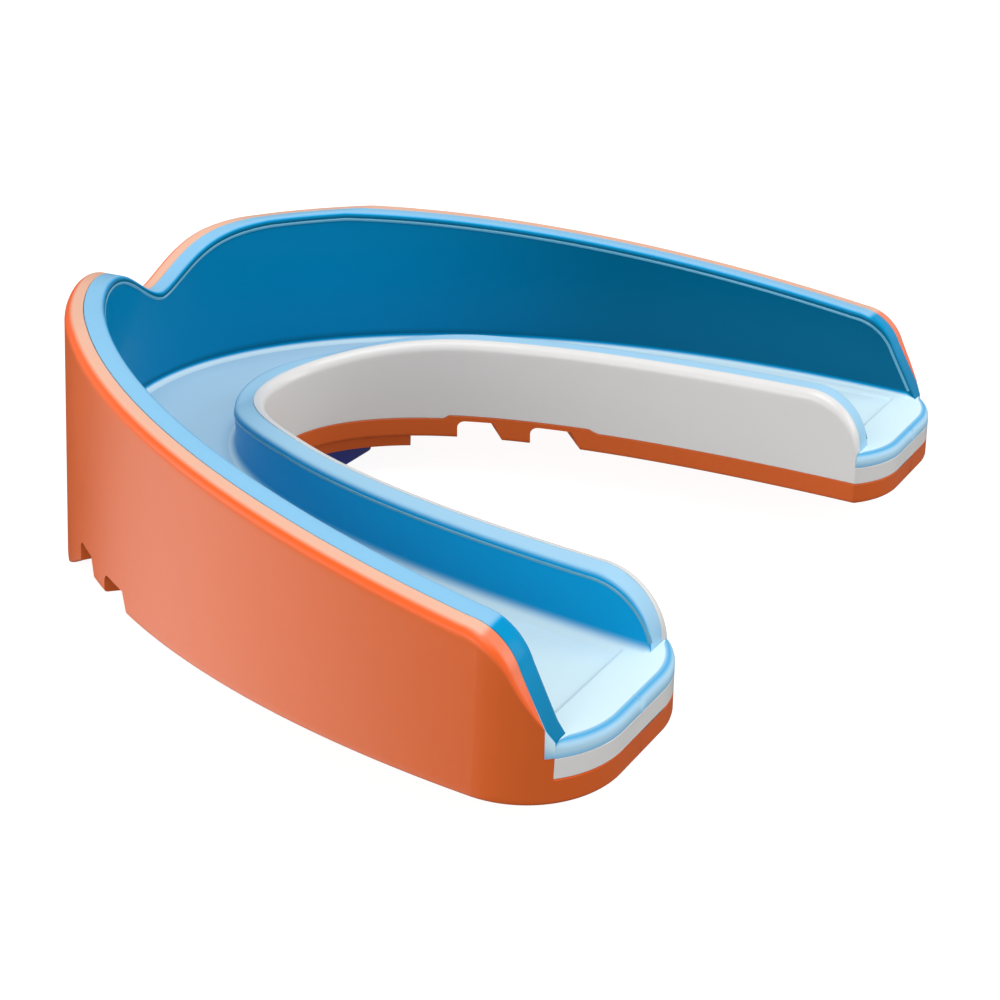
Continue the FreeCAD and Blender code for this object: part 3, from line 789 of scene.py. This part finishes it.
def group_finish():
    """Moulded rubber finish: fine grain, cloudy gloss and light handling marks."""
    tree = bpy.data.node_groups.get("Moulded finish")
    if tree:
        return tree
    tree = bpy.data.node_groups.new("Moulded finish", "ShaderNodeTree")
    for name, value in (("Grain Scale", 900.0), ("Cloud Scale", 90.0), ("Gloss", 0.3), ("Spread", 0.1)):
        tree.interface.new_socket(name, in_out="INPUT", socket_type="NodeSocketFloat").default_value = value
    for name in ("Roughness", "Height", "Cloud"):
        tree.interface.new_socket(name, in_out="OUTPUT", socket_type="NodeSocketFloat")
    nodes, links = tree.nodes, tree.links
    inputs, outputs = nodes.new("NodeGroupInput"), nodes.new("NodeGroupOutput")
    place = nodes.new("ShaderNodeTexCoord")
    grain = nodes.new("ShaderNodeTexNoise")
    grain.inputs["Detail"].default_value = 3
    cloud = nodes.new("ShaderNodeTexNoise")
    cloud.inputs["Detail"].default_value = 5
    cloud.inputs["Roughness"].default_value = 0.6
    marks = nodes.new("ShaderNodeTexNoise")
    marks.inputs["Scale"].default_value = 260
    marks.inputs["Detail"].default_value = 6
    stretch = nodes.new("ShaderNodeMapping")
    stretch.inputs["Scale"].default_value = (1, 3.5, 9)
    stretch.inputs["Rotation"].default_value = (0.3, 0.2, 0.9)
    thin = nodes.new("ShaderNodeMapRange")
    for name, value in (("From Min", 0.5), ("From Max", 0.85), ("To Min", 0.0), ("To Max", 1.0)):
        thin.inputs[name].default_value = value
    for noise, scale in ((grain, "Grain Scale"), (cloud, "Cloud Scale")):
        links.new(place.outputs["Object"], noise.inputs["Vector"])
        links.new(inputs.outputs[scale], noise.inputs["Scale"])
    links.new(place.outputs["Object"], stretch.inputs["Vector"])
    links.new(stretch.outputs["Vector"], marks.inputs["Vector"])
    links.new(marks.outputs["Fac"], thin.inputs["Value"])

    def calc(kind, a, b, c=None):
        made = nodes.new("ShaderNodeMath")
        made.operation = kind
        for socket, value in zip(made.inputs, (a, b, c)):
            if isinstance(value, (int, float)):
                socket.default_value = value
            elif value is not None:
                links.new(value, socket)
        return made.outputs[0]

    centred = calc("SUBTRACT", cloud.outputs["Fac"], 0.5)
    rough = calc("MULTIPLY_ADD", centred, inputs.outputs["Spread"], inputs.outputs["Gloss"])
    worn = calc("MULTIPLY_ADD", thin.outputs["Result"], 0.03, rough)
    fine = calc("MULTIPLY_ADD", grain.outputs["Fac"], 0.75, 0.0)
    height = calc("MULTIPLY_ADD", cloud.outputs["Fac"], 0.25, fine)
    links.new(worn, outputs.inputs["Roughness"])
    links.new(height, outputs.inputs["Height"])
    links.new(cloud.outputs["Fac"], outputs.inputs["Cloud"])
    return tree


def group_tint_and_light():
    """Colour from a deep shade, a brighter copy that is painted light, and a pale shade that is partly paler
    gel and partly painted light, by a mask, with a faint cloudiness.
    """
    tree = bpy.data.node_groups.get("Layer tint")
    if tree:
        return tree
    tree = bpy.data.node_groups.new("Layer tint", "ShaderNodeTree")
    for name in ("Deep", "Bright", "Pale"):
        tree.interface.new_socket(name, in_out="INPUT", socket_type="NodeSocketColor")
    for name, value in (("Mask", 0.0), ("Cloud", 0.5), ("Cloudiness", 0.1)):
        tree.interface.new_socket(name, in_out="INPUT", socket_type="NodeSocketFloat").default_value = value
    tree.interface.new_socket("Color", in_out="OUTPUT", socket_type="NodeSocketColor")
    nodes, links = tree.nodes, tree.links
    inputs, outputs = nodes.new("NodeGroupInput"), nodes.new("NodeGroupOutput")
    blends = []
    for low, high in ((0.0, 0.3), (0.3, 1.0)):
        span = nodes.new("ShaderNodeMapRange")
        span.inputs["From Min"].default_value, span.inputs["From Max"].default_value = low, high
        blend = nodes.new("ShaderNodeMix")
        blend.data_type = "RGBA"
        links.new(inputs.outputs["Mask"], span.inputs["Value"])
        links.new(span.outputs["Result"], blend.inputs["Factor"])
        blends.append(blend)
    first, blend = blends
    shift = nodes.new("ShaderNodeMath")
    shift.operation = "SUBTRACT"
    shift.inputs[1].default_value = 0.5
    scale = nodes.new("ShaderNodeMath")
    scale.operation = "MULTIPLY_ADD"
    scale.inputs[2].default_value = 1.0
    shade = nodes.new("ShaderNodeHueSaturation")
    links.new(inputs.outputs["Deep"], first.inputs["A"])
    links.new(inputs.outputs["Bright"], first.inputs["B"])
    links.new(first.outputs["Result"], blend.inputs["A"])
    links.new(inputs.outputs["Pale"], blend.inputs["B"])
    links.new(inputs.outputs["Cloud"], shift.inputs[0])
    links.new(shift.outputs[0], scale.inputs[0])
    links.new(inputs.outputs["Cloudiness"], scale.inputs[1])
    links.new(blend.outputs["Result"], shade.inputs["Color"])
    links.new(scale.outputs[0], shade.inputs["Value"])
    links.new(shade.outputs["Color"], outputs.inputs["Color"])
    return tree


def rubber(name, deep, painted_bright, pale, gloss, spread=0.1, coat=0.0, coat_gloss=0.1, bump=0.00002, grain=900.0,
           cloudiness=0.1, sheen=0.5):
    """One moulded rubber, from its deep colour, a brighter copy for painted light, a pale colour that is
    partly painted light, and its gloss.
    """
    made = bpy.data.materials.get(SWATCH + name)
    if made:
        return made
    made = bpy.data.materials.new(SWATCH + name)
    made.use_nodes = True
    nodes, links = made.node_tree.nodes, made.node_tree.links
    body = nodes["Principled BSDF"]
    finish, tint = nodes.new("ShaderNodeGroup"), nodes.new("ShaderNodeGroup")
    finish.node_tree, tint.node_tree = group_finish(), group_tint_and_light()
    # The tint mixes the deep colour with the painted-light bright and pale copies by the pale mask.
    mask = nodes.new("ShaderNodeAttribute")
    mask.attribute_name = "pale"
    bumps = nodes.new("ShaderNodeBump")
    bumps.inputs["Distance"].default_value = bump
    bumps.inputs["Strength"].default_value = 1.0
    finish.inputs["Gloss"].default_value = gloss
    finish.inputs["Spread"].default_value = spread
    finish.inputs["Grain Scale"].default_value = grain
    tint.inputs["Deep"].default_value = (*deep, 1)
    tint.inputs["Bright"].default_value = (*painted_bright, 1)
    tint.inputs["Pale"].default_value = (*pale, 1)
    tint.inputs["Cloudiness"].default_value = cloudiness
    body.inputs["Coat Weight"].default_value = coat
    body.inputs["Coat Roughness"].default_value = coat_gloss
    body.inputs["Specular IOR Level"].default_value = sheen
    links.new(mask.outputs["Fac"], tint.inputs["Mask"])
    links.new(finish.outputs["Cloud"], tint.inputs["Cloud"])
    links.new(tint.outputs["Color"], body.inputs["Base Color"])
    links.new(finish.outputs["Roughness"], body.inputs["Roughness"])
    links.new(finish.outputs["Height"], bumps.inputs["Height"])
    links.new(bumps.outputs["Normal"], body.inputs["Normal"])
    return made


def orange():
    # Deep orange for the sides; the brighter orange of the top fillet and the peach of the top land are
    # painted highlight and painted light.
    return rubber("orange", (0.68, 0.118, 0.016), (0.90, 0.12, 0.010), (0.84, 0.47, 0.33), 0.36, 0.08,
                  coat=0.0, sheen=0.4)


def white():
    return rubber("white", (0.77, 0.76, 0.75), (0.8, 0.8, 0.8), (0.9, 0.9, 0.9), 0.36, 0.1, coat=0.3,
                  coat_gloss=0.15, cloudiness=0.04)


def blue():
    # Deep blue is the gel's colour; the brighter blue on lit walls is painted light, and the pale of floor
    # and lands is partly paler gel, partly painted light.
    return rubber("blue", (0.0, 0.125, 0.24), (0.0, 0.345, 0.70), (0.72, 0.92, 0.99), 0.3, 0.1, coat=0.05,
                  coat_gloss=0.1, bump=0.000005, cloudiness=0.06, sheen=0.05)


def blue_edge():
    # Pale cyan of the rim beads: a painted highlight line along the gel's rim.
    shade = (0.10, 0.36, 0.52)
    return rubber("blue_edge", shade, shade, shade, 0.2, 0.08, coat=0.4, coat_gloss=0.08, bump=0.000003)


def dark_blue():
    deep = (0.03, 0.045, 0.30)
    return rubber("dark_blue", deep, deep, deep, 0.4, 0.1)


# ---------------------------------------------------------------- operators

def plan():
    shape, layers = bpy.context.scene.guard_shape, bpy.context.scene.guard_layers
    arch = Arch(shape, layers)
    arch.finish()
    return arch, Heights(shape, layers)


class GUARD_OT_shell(bpy.types.Operator):
    """Build the tough orange shell: cheek wall, sole with flex grooves, lip and ridge"""
    bl_idname = "guard.shell"
    bl_label = "Outer shell"

    def execute(self, context):
        arch, rule = plan()
        mesh = cut(shell_mesh(arch, rule), groove_cutters(rule))
        piece("shell", mesh, orange(), "outer_shell")
        piece("ridge", ridge_mesh(arch, rule), orange(), None)
        return {"FINISHED"}


class GUARD_OT_frame(bpy.types.Operator):
    """Build the white frame: the middle slab and the tongue wall's skin"""
    bl_idname = "guard.frame"
    bl_label = "White frame"

    def execute(self, context):
        arch, rule = plan()
        piece("frame", frame_mesh(arch, rule), white(), "shock_frame")
        return {"FINISHED"}


class GUARD_OT_liner(bpy.types.Operator):
    """Build the blue gel liner: cheek lining, floor with beds and tongue lining"""
    bl_idname = "guard.liner"
    bl_label = "Gel liner"

    def execute(self, context):
        arch, rule = plan()
        piece("liner", liner_mesh(arch, rule), blue(), "gel_liner")
        return {"FINISHED"}


class GUARD_OT_beads(bpy.types.Operator):
    """Run a fine bead under the inner rim of each gel wall, coloured as a painted highlight line"""
    bl_idname = "guard.beads"
    bl_label = "Rim beads"

    def execute(self, context):
        arch, rule = plan()
        tree = bead_tree()
        for name, path in zip(("bead_cheek", "bead_tongue"), bead_paths(arch, rule)):
            mesh = bead_mesh(tree, path, arch.k.bead, blue_edge())
            piece(name, mesh, blue_edge(), None)
        return {"FINISHED"}


class GUARD_OT_pad(bpy.types.Operator):
    """Build the soft pad under the front of the sole"""
    bl_idname = "guard.pad"
    bl_label = "Lip pad"

    def execute(self, context):
        source = bpy.data.objects["lip_pad"].data.copy()
        work = bmesh.new()
        work.from_mesh(source)
        bmesh.ops.remove_doubles(work, verts=work.verts, dist=PAD_MERGE)
        bmesh.ops.dissolve_limit(work, angle_limit=math.radians(1), verts=work.verts, edges=work.edges)
        sharp = [e for e in work.edges if e.is_manifold and e.calc_face_angle() > math.radians(PAD_SHARP)]
        bmesh.ops.bevel(work, geom=sharp, offset=PAD_BEVEL, segments=3, profile=0.5, affect="EDGES",
                        clamp_overlap=True)
        bmesh.ops.triangulate(work, faces=work.faces)
        work.to_mesh(source)
        work.free()
        piece("pad", source, dark_blue(), "lip_pad")
        return {"FINISHED"}


class GUARD_OT_stage(bpy.types.Operator):
    """Lay the floor and place the camera and the studio lights"""
    bl_idname = "guard.stage"
    bl_label = "Stage"

    def execute(self, context):
        scene, look = context.scene, context.scene.guard_stage
        scene.view_settings.view_transform = "Standard"
        bpy.ops.mesh.primitive_plane_add(size=6)
        floor = context.object
        floor.name = "floor"
        floor.location.z = -0.0002
        paint = bpy.data.materials.new(SWATCH + "floor")
        paint.use_nodes = True
        body = paint.node_tree.nodes["Principled BSDF"]
        body.inputs["Base Color"].default_value = (0.2, 0.2, 0.2, 1)
        body.inputs["Roughness"].default_value = 0.9
        body.inputs["Emission Color"].default_value = (1, 1, 1, 1)
        body.inputs["Emission Strength"].default_value = 0.93
        floor.data.materials.append(paint)
        floor.visible_diffuse = floor.visible_glossy = False
        world = bpy.data.worlds.new("sky")
        world.use_nodes = True
        nodes, links = world.node_tree.nodes, world.node_tree.links
        sky, way = nodes["Background"], nodes.new("ShaderNodeTexCoord")
        split, half = nodes.new("ShaderNodeSeparateXYZ"), nodes.new("ShaderNodeMath")
        ramp = nodes.new("ShaderNodeValToRGB")
        half.operation = "MULTIPLY_ADD"
        half.inputs[1].default_value = half.inputs[2].default_value = 0.5
        for stop, (place, grey) in enumerate(SKY_STOPS):
            step = ramp.color_ramp.elements[stop] if stop < 2 else ramp.color_ramp.elements.new(place)
            step.position, step.color = place, (grey, grey, grey, 1)
        links.new(way.outputs["Generated"], split.inputs[0])
        links.new(split.outputs["Z"], half.inputs[0])
        links.new(half.outputs[0], ramp.inputs["Fac"])
        light = ramp.outputs["Color"]
        patches = (("MULTIPLY", SHADE_WAY, SHADE_START, 1.0, SHADE_LEVEL),
                   ("ADD", GLOW_WAY, GLOW_START, 0.0, look.glow))
        for kind, where, start, outside, inside in patches:
            facing, patch, both = (nodes.new(kind) for kind in (
                "ShaderNodeVectorMath", "ShaderNodeMapRange", "ShaderNodeMath"))
            facing.operation, both.operation = "DOT_PRODUCT", kind
            facing.inputs[1].default_value = where
            patch.interpolation_type = "SMOOTHSTEP"
            for name, value in (("From Min", start), ("To Min", outside), ("To Max", inside)):
                patch.inputs[name].default_value = value
            links.new(way.outputs["Generated"], facing.inputs[0])
            links.new(facing.outputs["Value"], patch.inputs["Value"])
            links.new(light, both.inputs[0])
            links.new(patch.outputs["Result"], both.inputs[1])
            light = both.outputs[0]
        links.new(light, sky.inputs["Color"])
        sky.inputs["Strength"].default_value = look.sky
        scene.world = world
        target = Vector(LAMP_TARGET)
        for name, place, size, power in LAMPS:
            data = bpy.data.lights.new(name, "AREA")
            data.size, data.energy = size, power * look.key
            lamp = bpy.data.objects.new(name, data)
            scene.collection.objects.link(lamp)
            lamp.location = place
            lamp.rotation_euler = (target - lamp.location).to_track_quat("-Z", "Y").to_euler()
        eye = bpy.data.cameras.new("eye")
        eye.lens, eye.sensor_width, eye.clip_start, eye.clip_end = look.lens, 36, 0.01, 10
        camera = bpy.data.objects.new("camera", eye)
        scene.collection.objects.link(camera)
        camera.location = EYE
        aim = Vector(AIM) - camera.location
        camera.rotation_euler = aim.to_track_quat("-Z", "Y").to_euler()
        camera.rotation_euler.rotate_axis("Z", ROLL)
        scene.camera = camera
        return {"FINISHED"}


class GUARD_PT_panel(bpy.types.Panel):
    """Sizes and build buttons"""
    bl_idname = "GUARD_PT_panel"
    bl_label = "Mouthguard"
    bl_space_type = "VIEW_3D"
    bl_region_type = "UI"
    bl_category = "Mouthguard"

    def draw(self, context):
        for group in (context.scene.guard_shape, context.scene.guard_layers, context.scene.guard_stage):
            box = self.layout.box()
            for name in group.__annotations__:
                box.prop(group, name)
        for step in STEPS:
            self.layout.operator(step.bl_idname)


STEPS = (GUARD_OT_shell, GUARD_OT_frame, GUARD_OT_liner, GUARD_OT_beads, GUARD_OT_pad, GUARD_OT_stage)
GROUPS = (("guard_shape", GuardShape), ("guard_layers", GuardLayers), ("guard_stage", GuardStage))


def register():
    for _, group in GROUPS:
        bpy.utils.register_class(group)
    for step in STEPS + (GUARD_PT_panel,):
        bpy.utils.register_class(step)
    for name, group in GROUPS:
        setattr(bpy.types.Scene, name, bpy.props.PointerProperty(type=group))


def unregister():
    for name, group in GROUPS:
        delattr(bpy.types.Scene, name)
        bpy.utils.unregister_class(group)
    for step in STEPS + (GUARD_PT_panel,):
        bpy.utils.unregister_class(step)


def main():
    for made in list(bpy.data.objects):
        bpy.data.objects.remove(made)
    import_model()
    register()
    for step in STEPS:
        group, name = step.bl_idname.split(".")
        getattr(getattr(bpy.ops, group), name)()
    bpy.context.view_layer.update()


if __name__ == "__main__":
    main()
